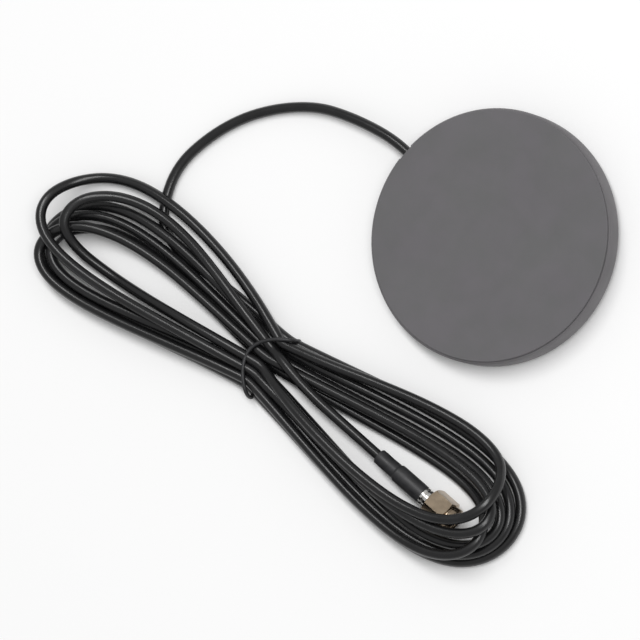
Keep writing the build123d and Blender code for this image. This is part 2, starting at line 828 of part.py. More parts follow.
# Body of the plug: ferrule, collar, neck, ring groove, flange and front sleeve
collar_radius = collar_diameter / 2
neck_radius = neck_diameter / 2
groove_rear = ring_rear - insulator_gap
groove_front = ring_front + insulator_gap
with BuildPart() as plug_body:
    with BuildSketch(plug_side):
        with BuildLine():
            Polyline(
                (-ferrule_length, 0),
                (-ferrule_length, ferrule_diameter / 2),
                (0, ferrule_diameter / 2),
                (0, collar_radius - collar_chamfer),
                (collar_chamfer, collar_radius),
                (collar_length - collar_chamfer, collar_radius),
                (collar_length, collar_radius - collar_chamfer),
                (collar_length, neck_radius),
                (groove_rear, neck_radius),
                (groove_rear, ring_groove_diameter / 2),
                (groove_front, ring_groove_diameter / 2),
                (groove_front, neck_radius),
                (flange_rear, neck_radius),
                (flange_rear, flange_diameter / 2),
                (flange_front, flange_diameter / 2),
                (flange_front, neck_radius),
                (sleeve_front, neck_radius),
                (sleeve_front, sleeve_bore_diameter / 2),
                (sleeve_bore_rear, sleeve_bore_diameter / 2),
                (sleeve_bore_rear, rear_bore_diameter / 2),
                (rear_bore_start, rear_bore_diameter / 2),
                (rear_bore_start, 0),
                close=True,
            )
        make_face()
    revolve(axis=plug_axis)
plug_body.part.label = "plug_body"
export_step(plug_body.part, "parts/plug_body.step")

# Insulator in the body's bore
with BuildPart() as plug_insulator:
    with BuildSketch(plug_side):
        with BuildLine():
            Polyline(
                (rear_bore_start + insulator_gap, 0),
                (rear_bore_start + insulator_gap, rear_bore_diameter / 2 - insulator_gap),
                (sleeve_bore_rear + insulator_gap, rear_bore_diameter / 2 - insulator_gap),
                (sleeve_bore_rear + insulator_gap, sleeve_bore_diameter / 2 - insulator_gap),
                (sleeve_front, sleeve_bore_diameter / 2 - insulator_gap),
                (sleeve_front, 0),
                close=True,
            )
        make_face()
    revolve(axis=plug_axis)
    with BuildSketch(plug_face.offset(pin_rear - insulator_gap)):
        Circle(pin_diameter / 2 + insulator_gap)
    extrude(amount=nut_front, mode=Mode.SUBTRACT)
plug_insulator.part.label = "plug_insulator"
export_step(plug_insulator.part, "parts/plug_insulator.step")

# Centre pin with a tapered tip
with BuildPart() as plug_pin:
    with BuildSketch(plug_side):
        with BuildLine():
            Polyline(
                (pin_rear, 0),
                (pin_rear, pin_diameter / 2),
                (pin_front - pin_tip_length, pin_diameter / 2),
                (pin_front, pin_tip_diameter / 2),
                (pin_front, 0),
                close=True,
            )
        make_face()
    revolve(axis=plug_axis)
plug_pin.part.label = "plug_pin"
export_step(plug_pin.part, "parts/plug_pin.step")

# Gasket against the body's flange
with BuildPart() as plug_gasket:
    with BuildSketch(plug_face.offset(flange_front)):
        Circle(flange_diameter / 2)
        Circle(neck_radius + insulator_gap, mode=Mode.SUBTRACT)
    extrude(amount=gasket_thickness)
plug_gasket.part.label = "plug_gasket"
export_step(plug_gasket.part, "parts/plug_gasket.step")

# Split ring in the body's groove, ahead of the nut's lip
with BuildPart() as nut_retaining_ring:
    with BuildSketch(plug_face.offset(ring_rear)):
        Circle(ring_outer_diameter / 2)
        Circle(ring_groove_diameter / 2 + insulator_gap, mode=Mode.SUBTRACT)
        with BuildLine():
            slot_reach = ring_outer_diameter
            slot_half = slot_reach * tan(radians(ring_slot_angle / 2))
            Polyline((0, 0), (slot_reach, slot_half), (slot_reach, -slot_half), close=True)
        make_face(mode=Mode.SUBTRACT)
    extrude(amount=ring_thickness)
nut_retaining_ring.part.label = "nut_retaining_ring"
export_step(nut_retaining_ring.part, "parts/nut_retaining_ring.step")

# Coupling nut: hexagon with chamfered corners, round nose, lip that turns on the neck
hex_radius = nut_across_flats / 2
corner_reach = hex_radius / cos(pi / 6)
hex_front = nut_rear + nut_hex_length
nose_radius = nut_nose_diameter / 2
bore_radius = nut_bore_diameter / 2
lip_radius = neck_radius + nut_bearing_gap
with BuildPart() as coupling_nut:
    with BuildSketch(plug_face.offset(nut_rear)):
        RegularPolygon(hex_radius, 6, major_radius=False, rotation=nut_turn)
    extrude(amount=nut_hex_length)
    with BuildSketch(plug_side):
        with BuildLine():
            Polyline(
                (nut_rear, 0),
                (nut_rear, corner_reach - 2 * nut_hex_chamfer),
                (nut_rear + nut_hex_chamfer, corner_reach),
                (hex_front - nut_hex_chamfer, corner_reach),
                (hex_front, corner_reach - 2 * nut_hex_chamfer),
                (hex_front, 0),
                close=True,
            )
        make_face()
    revolve(axis=plug_axis, mode=Mode.INTERSECT)
    with BuildSketch(plug_side):
        with BuildLine():
            Polyline(
                (hex_front, 0),
                (hex_front, nose_radius),
                (nut_front - nut_nose_chamfer, nose_radius),
                (nut_front, nose_radius - nut_nose_chamfer),
                (nut_front, 0),
                close=True,
            )
        make_face()
    revolve(axis=plug_axis)
    with BuildSketch(plug_side):
        with BuildLine():
            Polyline(
                (nut_rear, 0),
                (nut_rear, lip_radius),
                (lip_front, lip_radius),
                (lip_front, bore_radius),
                (nut_front - nut_mouth_chamfer, bore_radius),
                (nut_front, bore_radius + nut_mouth_chamfer),
                (nut_front, 0),
                close=True,
            )
        make_face()
    revolve(axis=plug_axis, mode=Mode.SUBTRACT)
coupling_nut.part.label = "coupling_nut"
export_step(coupling_nut.part, "parts/coupling_nut.step")

# Each cord's arcs, and its volume against its section times its length
for name, tube, line, route in (
    ("lead", lead, lead_line, lead_route),
    ("lead_tail", lead_tail, tail_line, tail_route),
):
    length = sum(edge.length for edge in line.edges())
    print(name, "radii", [round(radius, 1) for radius in arc_radii(route)])
    print(name, "length", round(length, 2), "volume", round(tube.part.volume, 2))
    print(name, "section times length", round(pi * lead_radius**2 * length, 2))
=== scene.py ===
from math import cos, exp, hypot, pi, radians, sin, sqrt

import bmesh
import bpy
from bpy.props import FloatProperty, FloatVectorProperty, IntProperty, PointerProperty
from bpy.types import Operator, Panel, PropertyGroup
from mathutils import Matrix, Vector, noise


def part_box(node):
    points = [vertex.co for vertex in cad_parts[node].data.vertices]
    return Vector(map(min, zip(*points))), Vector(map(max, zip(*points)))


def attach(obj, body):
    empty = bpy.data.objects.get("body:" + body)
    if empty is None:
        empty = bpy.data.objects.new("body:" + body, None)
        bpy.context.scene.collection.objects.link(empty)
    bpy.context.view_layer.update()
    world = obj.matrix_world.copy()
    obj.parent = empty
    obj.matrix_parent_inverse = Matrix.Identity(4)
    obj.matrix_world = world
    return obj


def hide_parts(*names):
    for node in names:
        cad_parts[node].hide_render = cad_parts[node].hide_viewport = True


bl_info = {
    "name": "Loop Antenna Puck",
    "version": (1, 0, 0),
    "blender": (4, 5, 0),
    "location": "3D View > Sidebar > Loop Antenna",
    "description": "Round loop antenna puck with its tied coaxial lead and screw-on plug",
    "category": "Add Mesh",
}

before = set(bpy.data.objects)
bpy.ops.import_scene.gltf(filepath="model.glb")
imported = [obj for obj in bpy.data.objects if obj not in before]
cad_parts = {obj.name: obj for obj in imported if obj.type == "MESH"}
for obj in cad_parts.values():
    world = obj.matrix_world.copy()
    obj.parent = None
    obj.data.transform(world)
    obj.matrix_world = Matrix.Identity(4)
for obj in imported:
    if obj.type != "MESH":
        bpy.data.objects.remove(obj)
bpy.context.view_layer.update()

MM = 0.001

# The plug's line: distances along it are in mm from the rear of its collar
PLUG_REAR = Vector((0.0325, -0.0626, 0.0049))
PLUG_TURN = radians(3.0)
PLUG_LINE = Vector((cos(PLUG_TURN), sin(PLUG_TURN), 0.0))
PLUG_SIDE = Vector((sin(PLUG_TURN), -cos(PLUG_TURN), 0.0))
# the coupling nut's two ends on that line, and its radius over the corners
NUT_REAR, NUT_FRONT, NUT_CORNER = 2.6, 11.3, 4.62
UP = Vector((0.0, 0.0, 1.0))
# segments of a turned piece: the wide pad, the nut, the slimmer boot and body
PAD_STEPS, NUT_STEPS, PLUG_STEPS = 256, 120, 72
# vertices nearer than this are one, and edges shorter than this are none, in metres
MERGED = 1e-7
VANISHING = 1e-8


class PuckSettings(PropertyGroup):
    pad_diameter: FloatProperty(
        name="Pad diameter", description="Width of the round pad on the puck's face",
        default=0.0668, min=0.02, unit="LENGTH", precision=4,
    )
    pad_gap: FloatProperty(
        name="Pad undercut", description="How far the pad's foot stands in from its edge",
        default=0.00032, min=0.0, unit="LENGTH", precision=5,
    )
    pad_edge: FloatProperty(
        name="Pad edge radius", description="Rounding of the pad's upper edge",
        default=0.00022, min=0.00005, unit="LENGTH", precision=5,
    )
    pad_colour: FloatVectorProperty(
        name="Pad colour", description="Matt dark grey of the pad",
        default=(0.114, 0.109, 0.116), size=3, min=0.0, max=1.0, subtype="COLOR",
    )
    housing_colour: FloatVectorProperty(
        name="Housing colour", description="Dark grey of the moulded housing",
        default=(0.132, 0.126, 0.132), size=3, min=0.0, max=1.0, subtype="COLOR",
    )


class LeadSettings(PropertyGroup):
    diameter: FloatProperty(
        name="Lead diameter", description="Outside diameter of the jacket",
        default=0.0028, min=0.001, unit="LENGTH", precision=4,
    )
    length: FloatProperty(
        name="Lead length", description="Whole length from the puck to the plug's boot",
        default=2.2, min=0.3, unit="LENGTH", precision=3,
    )
    strand_pitch: FloatProperty(
        name="Strand pitch", description="Spacing of the strands in the tie, in diameters",
        default=0.96, min=0.8, max=1.3, subtype="FACTOR",
    )
    points_per_lobe: IntProperty(
        name="Points per lobe", description="Control points of each side of a turn",
        default=16, min=8, max=32,
    )
    tie_diameter: FloatProperty(
        name="Tie thickness", description="Thickness of the thin tie round the hank",
        default=0.00105, min=0.0005, unit="LENGTH", precision=5,
    )
    jacket_colour: FloatVectorProperty(
        name="Jacket colour", description="Near black of the lead's jacket",
        default=(0.0065, 0.0065, 0.007), size=3, min=0.0, max=1.0, subtype="COLOR",
    )


class PlugSettings(PropertyGroup):
    across_flats: FloatProperty(
        name="Nut across flats", description="Width of the hexagon over its flats",
        default=0.008, min=0.004, unit="LENGTH", precision=4,
    )
    nut_turn: FloatProperty(
        name="Nut turn", description="How far the hexagon is turned about the plug's line",
        default=radians(35.5), subtype="ANGLE", unit="ROTATION",
    )
    nut_colour: FloatVectorProperty(
        name="Nut colour", description="Pale tan metal of the coupling nut",
        default=(0.39, 0.31, 0.225), size=3, min=0.0, max=1.0, subtype="COLOR",
    )
    collar_colour: FloatVectorProperty(
        name="Collar colour", description="Bright nickel of the plug's body",
        default=(0.80, 0.79, 0.76), size=3, min=0.0, max=1.0, subtype="COLOR",
    )


class StageSettings(PropertyGroup):
    azimuth: FloatProperty(
        name="Camera azimuth", description="Direction from the object to the camera",
        default=radians(25.9), subtype="ANGLE", unit="ROTATION",
    )
    elevation: FloatProperty(
        name="Camera elevation", description="Height of the camera above the floor's plane",
        default=radians(66.6), subtype="ANGLE", unit="ROTATION",
    )
    roll: FloatProperty(
        name="Camera roll", description="Turn of the picture about the line of sight",
        default=radians(-16.7), subtype="ANGLE", unit="ROTATION",
    )
    distance: FloatProperty(
        name="Camera distance", description="From the camera to the middle of the picture",
        default=5.0, min=1.0, unit="LENGTH",
    )
    key_strength: FloatProperty(
        name="Key light", description="Power of the large soft lamp, in watts",
        default=33.0, min=0.0,
    )
    sky_strength: FloatProperty(
        name="Surrounding light", description="Strength of the even light from all round",
        default=0.46, min=0.0,
    )
    floor_glow: FloatProperty(
        name="Floor glow", description="Brightness that the camera sees in the floor's shadows",
        default=0.02, min=0.0,
    )
    floor_colour: FloatVectorProperty(
        name="Floor colour", description="Pale floor below the object",
        default=(0.86, 0.86, 0.86), size=3, min=0.0, max=1.0, subtype="COLOR",
    )


def finish_of(name, colour, roughness, metallic=0.0, **sockets):
    """A new material with its shader's plain values set."""
    material = bpy.data.materials.new(name)
    material.use_nodes = True
    shader = material.node_tree.nodes["Principled BSDF"]
    shader.inputs["Base Color"].default_value = (*colour, 1.0)
    shader.inputs["Roughness"].default_value = roughness
    shader.inputs["Metallic"].default_value = metallic
    for socket, value in sockets.items():
        shader.inputs[socket.replace("_", " ")].default_value = value
    material.diffuse_color = (*colour, 1.0)
    return material


# share of the finer detail in every noise pattern
FINE_SHARE = 0.55


def pattern_of(material, scale, detail=4.0, stretch=(1.0, 1.0, 1.0), turn=0.0):
    """Noise on the piece's own coordinates, cells to the metre given by scale."""
    nodes, links = material.node_tree.nodes, material.node_tree.links
    coordinates = nodes.new("ShaderNodeTexCoord")
    mapping = nodes.new("ShaderNodeMapping")
    mapping.inputs["Rotation"].default_value = (0.0, 0.0, turn)
    mapping.inputs["Scale"].default_value = stretch
    texture = nodes.new("ShaderNodeTexNoise")
    texture.inputs["Scale"].default_value = scale
    texture.inputs["Detail"].default_value = detail
    texture.inputs["Roughness"].default_value = FINE_SHARE
    links.new(coordinates.outputs["Object"], mapping.inputs["Vector"])
    links.new(mapping.outputs["Vector"], texture.inputs["Vector"])
    return texture.outputs["Fac"]


def spread_of(material, value, low, high, start=0.3, end=0.7):
    """The pattern's value brought to the range from low to high."""
    node = material.node_tree.nodes.new("ShaderNodeMapRange")
    for socket, number in (("From Min", start), ("From Max", end), ("To Min", low), ("To Max", high)):
        node.inputs[socket].default_value = number
    material.node_tree.links.new(value, node.inputs["Value"])
    return node.outputs["Result"]


def add_mottle(material, colour, other, scale, start=0.35, end=0.65, **pattern):
    """Patches of a second colour."""
    nodes, links = material.node_tree.nodes, material.node_tree.links
    share = spread_of(material, pattern_of(material, scale, **pattern), 0.0, 1.0, start, end)
    mix = nodes.new("ShaderNodeMix")
    mix.data_type = "RGBA"
    mix.inputs["A"].default_value = (*colour, 1.0)
    mix.inputs["B"].default_value = (*other, 1.0)
    links.new(share, mix.inputs["Factor"])
    links.new(mix.outputs["Result"], nodes["Principled BSDF"].inputs["Base Color"])
    return material


def add_sheen_patches(material, low, high, scale, **pattern):
    """Patches of a second roughness, as handling leaves them."""
    value = spread_of(material, pattern_of(material, scale, **pattern), low, high)
    shader = material.node_tree.nodes["Principled BSDF"]
    material.node_tree.links.new(value, shader.inputs["Roughness"])
    return material


def add_grain(material, scale, strength, depth, **pattern):
    """Fine relief of the surface; depth in metres."""
    nodes, links = material.node_tree.nodes, material.node_tree.links
    bump = nodes.new("ShaderNodeBump")
    bump.inputs["Strength"].default_value = strength
    bump.inputs["Distance"].default_value = depth
    links.new(pattern_of(material, scale, **pattern), bump.inputs["Height"])
    links.new(bump.outputs["Normal"], nodes["Principled BSDF"].inputs["Normal"])
    return material


def shade(colour, share):
    """The colour made darker or lighter by a share."""
    return tuple(min(1.0, part * share) for part in colour)


def moulded(name, colour, roughness, grain=5200.0):
    """Matt moulded plastic: fine spark-eroded grain and faint handling marks."""
    material = finish_of(name, colour, roughness)
    add_mottle(material, shade(colour, 0.94), shade(colour, 1.06), scale=90.0, detail=5.0)
    add_sheen_patches(material, roughness - 0.06, roughness + 0.08, scale=140.0)
    return add_grain(material, scale=grain, strength=0.35, depth=0.00002, detail=2.0)


def plated(name, colour, roughness):
    """Plated metal with faint tool marks."""
    material = finish_of(name, colour, roughness, metallic=1.0)
    add_mottle(material, shade(colour, 0.93), shade(colour, 1.03), scale=450.0)
    add_sheen_patches(material, roughness - 0.06, roughness + 0.1, scale=900.0)
    return add_grain(material, scale=2600.0, strength=0.08, depth=0.00001)


def pad_skin(colour):
    """Matt skin of the pad, in faint patches that lean to green."""
    material = finish_of("pad_skin", colour, roughness=0.72, Specular_IOR_Level=0.35)
    greener = (0.955 * colour[0], 0.985 * colour[1], 0.95 * colour[2])
    lighter = shade(colour, 1.035)
    add_mottle(material, greener, lighter, scale=100.0, start=0.36, end=0.64, detail=8.0)
    add_sheen_patches(material, 0.62, 0.82, scale=80.0, detail=5.0)
    return add_grain(material, scale=4600.0, strength=0.4, depth=0.00002, detail=3.0)


def lead_jacket(colour):
    """Near black jacket that shines along the strands."""
    material = finish_of("lead_jacket", colour, roughness=0.27, Specular_IOR_Level=0.5)
    add_mottle(material, shade(colour, 0.85), shade(colour, 1.2), scale=260.0)
    add_sheen_patches(material, 0.24, 0.33, scale=160.0)
    return add_grain(material, scale=3800.0, strength=0.05, depth=0.00001, detail=3.0)


def boot_sleeve():
    """Shrunk sleeve, duller than the jacket."""
    material = finish_of("boot_sleeve", (0.017, 0.017, 0.018), roughness=0.46)
    add_mottle(material, (0.014, 0.014, 0.015), (0.024, 0.024, 0.026), scale=300.0)
    add_sheen_patches(material, 0.4, 0.56, scale=300.0)
    return add_grain(material, scale=2600.0, strength=0.2, depth=0.00002)


def tie_rubber():
    """Black rubber of the thin tie."""
    material = finish_of("tie_rubber", (0.010, 0.010, 0.011), roughness=0.5)
    add_mottle(material, (0.008, 0.008, 0.009), (0.016, 0.016, 0.018), scale=500.0)
    add_sheen_patches(material, 0.42, 0.6, scale=900.0)
    return add_grain(material, scale=4200.0, strength=0.2, depth=0.00001)


def nut_metal(colour):
    """Pale tan metal, smoother than the rest of the plug."""
    material = finish_of("nut_metal", colour, roughness=0.22, metallic=1.0)
    add_mottle(material, shade(colour, 0.97), shade(colour, 1.02), scale=160.0)
    add_sheen_patches(material, 0.18, 0.27, scale=420.0)
    return add_grain(material, scale=2600.0, strength=0.04, depth=0.00001)


def enamelled_wire():
    """Varnished copper wire, its turns shown by lines across the winding."""
    material = finish_of("enamelled_wire", (0.50, 0.17, 0.06), roughness=0.28, metallic=0.85)
    darker, lighter = (0.42, 0.13, 0.045), (0.58, 0.22, 0.09)
    flat, flatter = (1.0, 1.0, 9.0), (0.2, 0.2, 9.0)
    add_mottle(material, darker, lighter, scale=700.0, stretch=flat)
    add_sheen_patches(material, 0.22, 0.4, scale=800.0, stretch=flat)
    return add_grain(
        material, scale=500.0, strength=0.5, depth=0.00005, stretch=flatter, detail=1.0
    )


def board_mask():
    """Green varnish of the circuit board."""
    material = finish_of("board_mask", (0.012, 0.085, 0.035), roughness=0.3)
    darker, lighter = (0.010, 0.070, 0.028), (0.018, 0.115, 0.05)
    add_mottle(material, darker, lighter, scale=420.0, detail=1.0)
    add_sheen_patches(material, 0.24, 0.4, scale=600.0)
    return add_grain(material, scale=1400.0, strength=0.25, depth=0.00002)


def braided_screen():
    """Tinned wires of the lead's screen, shown by a slanting grain."""
    material = finish_of("lead_screen", (0.58, 0.56, 0.54), roughness=0.34, metallic=1.0)
    darker, lighter = (0.44, 0.42, 0.40), (0.68, 0.66, 0.64)
    add_mottle(material, darker, lighter, scale=2600.0, stretch=(0.6, 1.6, 1.6))
    add_sheen_patches(material, 0.26, 0.46, scale=2600.0)
    return add_grain(
        material, scale=3200.0, strength=0.6, depth=0.00005, stretch=(0.7, 1.5, 1.5), turn=0.6
    )


def made(name, shape, material, body, replaces=(), smooth=35.0):
    """The finished piece: object from the mesh, smooth where its faces turn little."""
    mesh = bpy.data.meshes.new(name)
    shape.to_mesh(mesh)
    shape.free()
    mesh.shade_smooth()
    mesh.set_sharp_from_angle(angle=radians(smooth))
    mesh.materials.append(material)
    piece = bpy.data.objects.new(name, mesh)
    bpy.context.scene.collection.objects.link(piece)
    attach(piece, body)
    if replaces:
        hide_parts(*replaces)
    return piece


def turned(outline, foot, line, side, steps):
    """A closed outline of (distance along the line, radius) pairs in mm, spun round the line."""
    shape = bmesh.new()
    corners = [shape.verts.new(foot + line * (a * MM) + side * (r * MM)) for a, r in outline]
    pairs = list(zip(range(len(corners)), [*range(1, len(corners)), 0]))
    edges = [
        shape.edges.new((corners[i], corners[j]))
        for i, j in pairs
        if outline[i][1] > 0.0 or outline[j][1] > 0.0
    ]
    bmesh.ops.spin(
        shape, geom=[*corners, *edges], cent=foot, axis=line, dvec=(0.0, 0.0, 0.0),
        angle=2 * pi, steps=steps, use_merge=True, use_duplicate=False,
    )
    bmesh.ops.remove_doubles(shape, verts=shape.verts, dist=MERGED)
    bmesh.ops.dissolve_degenerate(shape, edges=shape.edges, dist=VANISHING)
    bmesh.ops.recalc_face_normals(shape, faces=shape.faces)
    return shape


# the share of a short side that one corner's arc may take
ARC_SHARE = 0.45


def rounded(outline, radius, steps=3, skip=()):
    """The outline with short arcs of points at its corners, save those to skip or on the line."""
    result = []
    count = len(outline)
    for i, corner in enumerate(outline):
        here = Vector(corner)
        before = Vector(outline[i - 1]) - here
        after = Vector(outline[(i + 1) % count]) - here
        reach = min(radius, ARC_SHARE * before.length, ARC_SHARE * after.length)
        if i in skip or here.y == 0.0 or reach <= 0.0:
            result.append(tuple(corner))
            continue
        start = here + before.normalized() * reach
        end = here + after.normalized() * reach
        for k in range(steps + 1):
            t = k / steps
            result.append(tuple((1 - t) ** 2 * start + 2 * t * (1 - t) * here + t * t * end))
    return result


# in the CAD's mesh, vertices nearer than this in metres are one, and so are faces that turn
# less than this in radians
CAD_DOUBLES, CAD_FLAT = 1e-6, radians(0.4)


def cad_copy(node):
    """The CAD node's mesh, merged."""
    shape = bmesh.new()
    shape.from_mesh(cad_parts[node].data)
    bmesh.ops.remove_doubles(shape, verts=shape.verts, dist=CAD_DOUBLES)
    bmesh.ops.dissolve_limit(
        shape, angle_limit=CAD_FLAT, verts=shape.verts, edges=shape.edges,
        use_dissolve_boundaries=False, delimit=set(),
    )
    return shape


def dress(node, material):
    """The CAD node keeps its shape and gets its finish."""
    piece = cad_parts[node]
    piece.data.materials.clear()
    piece.data.materials.append(material)


# The lead: control points in mm, read from the photograph, from the puck to the hank,
# then its way into the tie in plan, and its tail from the tie to the plug's boot
LEAD_ROUTE = (
    (-34.0, 0.0, 4.9), (-38.0, 0.0, 4.9), (-45.5, -1.5, 4.5), (-54.5, -4.5, 3.6),
    (-63.0, -8.5, 2.4), (-71.0, -15.5, 1.4), (-77.5, -24.5, 1.4), (-81.5, -35.0, 1.4),
    (-83.0, -46.5, 1.4), (-79.0, -56.5, 1.4),
)
HANK_START = ((-73.0, -62.5), (-61.0, -62.5), (-49.0, -60.5), (-37.5, -59.5))
TAIL_ROUTE = (
    (-22.0, -63.2, 6.9), (-10.6, -64.4, 6.6), (6.7, -63.9, 4.9), (23.7, -63.1, 4.9),
    (32.5, -62.6, 4.9),
)

# The hank: each lobe is one loop from the tie and back. Its values are the reach
# from the tie and the lean across in mm, then the width in mm of the side that leaves the tie
# and of the side that comes back, and how slim each of them is towards the tie.
RIGHT_LOBES = (
    (84.5, 11.0, 19.5, 15.3, 1.3, 1.5), (83.0, 10.5, 17.0, 15.0, 1.4, 1.4),
    (81.5, 10.5, 14.5, 13.5, 1.5, 1.5), (80.5, 9.2, 12.2, 14.2, 1.5, 1.5),
    (80.0, 13.0, 12.4, 9.9, 1.4, 1.1), (77.0, 13.2, 20.0, 10.3, 1.6, 0.8),
)
LEFT_LOBES = (
    (73.0, -13.2, 13.0, 15.6, 1.5, 1.4), (71.5, -13.8, 13.0, 12.8, 1.5, 1.5),
    (68.0, -14.3, 12.6, 11.5, 1.5, 1.5), (70.0, -15.3, 12.6, 11.0, 1.5, 1.5),
    (76.5, -9.0, 9.5, 20.0, 1.2, 0.9), (69.0, -8.0, 7.3, 18.4, 1.3, 1.3),
)
# how blunt the far end of a lobe is, from 0 for a plain one
BLUNT_TIP = 0.3

# The tie: its middle in mm, and where each pass lies in it, as diameters across and a layer
TIE_PLACE = (-26.5, -67.1)
UPPER_SLOTS = ((3.0, 0), (2.0, 0), (1.0, 0), (0.0, 0), (0.5, 1), (2.5, 1), (1.5, 1))
LOWER_SLOTS = ((-3.0, 0), (-2.0, 0), (-1.0, 0), (-2.5, 1), (-1.5, 1), (-0.5, 1))
# how far from the tie, in mm, its lower side lifts the strands and its grip flattens them
TIE_LIFT, TIE_GRIP = 10.0, 7.0
# control points on each side of a pass that the grip reaches
GRIPPED = 2
# the tie's foot along the hank, and how far its top leans off it, in mm
TIE_FOOT, TIE_LEAN = -24.0, 7.0
# the tie's segments to each control point, and the bevel resolution of its round
TIE_STEPS, TIE_ROUND_STEPS = 8, 5

# The heights: samples of the lead's line to each control point
SAMPLES = 4
# in samples: reach of a raised stretch, of its averaging, and of what never rests on itself
RISE, EASE, APART_ON_LEAD = 5, 3, 14
# nearest that two strands' middles come, in diameters
SQUEEZE = 0.945
# the visible lead's segments to each control point, and the bevel resolution of its round
LEAD_STEPS, ROUND_STEPS = 6, 6


def lobe(side, sizes, start, end, count):
    """One loop of the hank, out from the tie and back to it."""
    reach, lean, width_out, width_back, slim_out, slim_back = sizes
    points = []
    for i in range(1, count):
        t = i / count
        near = cos(pi * t) ** 2
        out = reach * (1 - near) * (1 + BLUNT_TIP * near)
        width = width_out + (width_back - width_out) * t
        slim = slim_out + (slim_back - slim_out) * t
        across = start + (end - start) * (1 - cos(pi * t)) / 2 + lean * (1 - near)
        across += side * width * sin(2 * pi * t) * sin(pi * t) ** slim
        points.append((TIE_PLACE[0] + side * out, TIE_PLACE[1] + across))
    return points


def tie_passes():
    """The slot of each pass through the tie, in the order the passes are laid."""
    pairs = [slot for pair in zip(UPPER_SLOTS, LOWER_SLOTS) for slot in pair]
    return [*pairs, UPPER_SLOTS[-1]]


def winding(pitch, count):
    """The hank's turns in plan, from the tie's first pass to its last."""
    across = [slot[0] * pitch for slot in tie_passes()]
    points = []
    for turn in range(len(RIGHT_LOBES)):
        first, second, third = across[2 * turn : 2 * turn + 3]
        points.append((TIE_PLACE[0], TIE_PLACE[1] + first))
        points += lobe(1, RIGHT_LOBES[turn], first, second, count)
        points.append((TIE_PLACE[0], TIE_PLACE[1] + second))
        points += lobe(-1, LEFT_LOBES[turn], second, third, count)
    points.append((TIE_PLACE[0], TIE_PLACE[1] + across[-1]))
    return points


def line_object(name, points, samples):
    """One open spline with the points, in mm, as its control points."""
    curve = bpy.data.curves.new(name, "CURVE")
    curve.dimensions = "3D"
    curve.resolution_u = samples
    curve.render_resolution_u = samples
    spline = curve.splines.new("NURBS")
    spline.points.add(len(points) - 1)
    for point, place in zip(spline.points, points):
        point.co = (*(part * MM for part in place), 1.0)
    spline.order_u = 3
    spline.use_endpoint_u = True
    piece = bpy.data.objects.new(name, curve)
    bpy.context.scene.collection.objects.link(piece)
    return piece


def mesh_of(piece):
    """The mesh that the curve object makes."""
    depsgraph = bpy.context.evaluated_depsgraph_get()
    return bpy.data.meshes.new_from_object(piece.evaluated_get(depsgraph))


def centreline(piece):
    """Points along the object's spline, in mm."""
    mesh = mesh_of(piece)
    line = [vertex.co / MM for vertex in mesh.vertices]
    bpy.data.meshes.remove(mesh)
    return line


def eased(heights, i):
    """The highest value on both sides of a sample, averaged, so that no dip cuts into a strand."""
    tops = [
        max(heights[max(0, k - RISE) : k + RISE + 1])
        for k in range(max(0, i - EASE), min(len(heights), i + EASE + 1))
    ]
    return sum(tops) / len(tops)


def height_over_nut(point, diameter):
    """Height where a strand's middle clears the coupling nut, 0 where it passes beside it."""
    nut_rear = (PLUG_REAR + PLUG_LINE * NUT_REAR * MM) / MM
    reach = NUT_CORNER + diameter / 2
    along = (point - nut_rear).xy.dot(PLUG_LINE.xy)
    nearest = nut_rear + PLUG_LINE * min(max(along, 0.0), NUT_FRONT - NUT_REAR)
    apart = (point.xy - nearest.xy).length
    return nearest.z + sqrt(reach**2 - apart**2) if apart < reach else 0.0


def resting_heights(plan, hank_end, diameter, tie_thickness):
    """Height at each control point, where every stretch rests on what was laid before it."""
    sketch = line_object("hank_plan", [(x, y, 0.0) for x, y in plan], SAMPLES)
    line = centreline(sketch)
    bpy.data.objects.remove(sketch)
    close = SQUEEZE * diameter
    heights = []
    settled = []
    for i, point in enumerate(line):
        # a stretch rests on what was laid earlier, but not on its own near neighbours
        if i >= APART_ON_LEAD:
            settled.append(eased(heights, i - APART_ON_LEAD))
        off_tie = (point.x - TIE_PLACE[0]) / TIE_LIFT
        height = diameter / 2 + tie_thickness * exp(-off_tie * off_tie)
        for earlier, rest in zip(line, settled):
            apart = hypot(earlier.x - point.x, earlier.y - point.y)
            if apart < close:
                height = max(height, rest + sqrt(close * close - apart * apart))
        # the tail ends in the plug, so only the hank passes over the nut
        if i < hank_end * SAMPLES:
            height = max(height, height_over_nut(point, diameter))
        heights.append(height)
    places = [min(max(round((i - 0.5) * SAMPLES), 0), len(line) - 1) for i in range(len(plan))]
    return [eased(heights, place) for place in places]


def layer_rise(diameter, pitch):
    """How far the upper layer in the tie lies above the lower one, in whose hollows it rests."""
    return diameter * sqrt(SQUEEZE**2 - pitch**2 / 4)


def lead_points(diameter, pitch, count, tie_thickness):
    """All control points of the lead in mm, from the puck to the plug's boot."""
    plan = [point[:2] for point in LEAD_ROUTE]
    plan += HANK_START
    first_pass = len(plan)
    plan += winding(pitch * diameter, count)
    hank_end = len(plan)
    plan += [point[:2] for point in TAIL_ROUTE]
    heights = resting_heights(plan, hank_end, diameter, tie_thickness)
    for i, point in enumerate(LEAD_ROUTE):
        heights[i] = point[2]
    # inside the tie the strands are pressed into two layers
    low_layer = diameter / 2 + tie_thickness
    rise = layer_rise(diameter, pitch)
    for k, (_, layer) in enumerate(tie_passes()):
        middle = first_pass + k * count
        for i in range(middle - GRIPPED, min(middle + GRIPPED + 1, hank_end)):
            off_tie = (plan[i][0] - TIE_PLACE[0]) / TIE_GRIP
            held = exp(-off_tie * off_tie)
            heights[i] += (low_layer + layer * rise - heights[i]) * held
    for i, point in enumerate(TAIL_ROUTE):
        heights[hank_end + i] = point[2]
    return [(x, y, z) for (x, y), z in zip(plan, heights)]


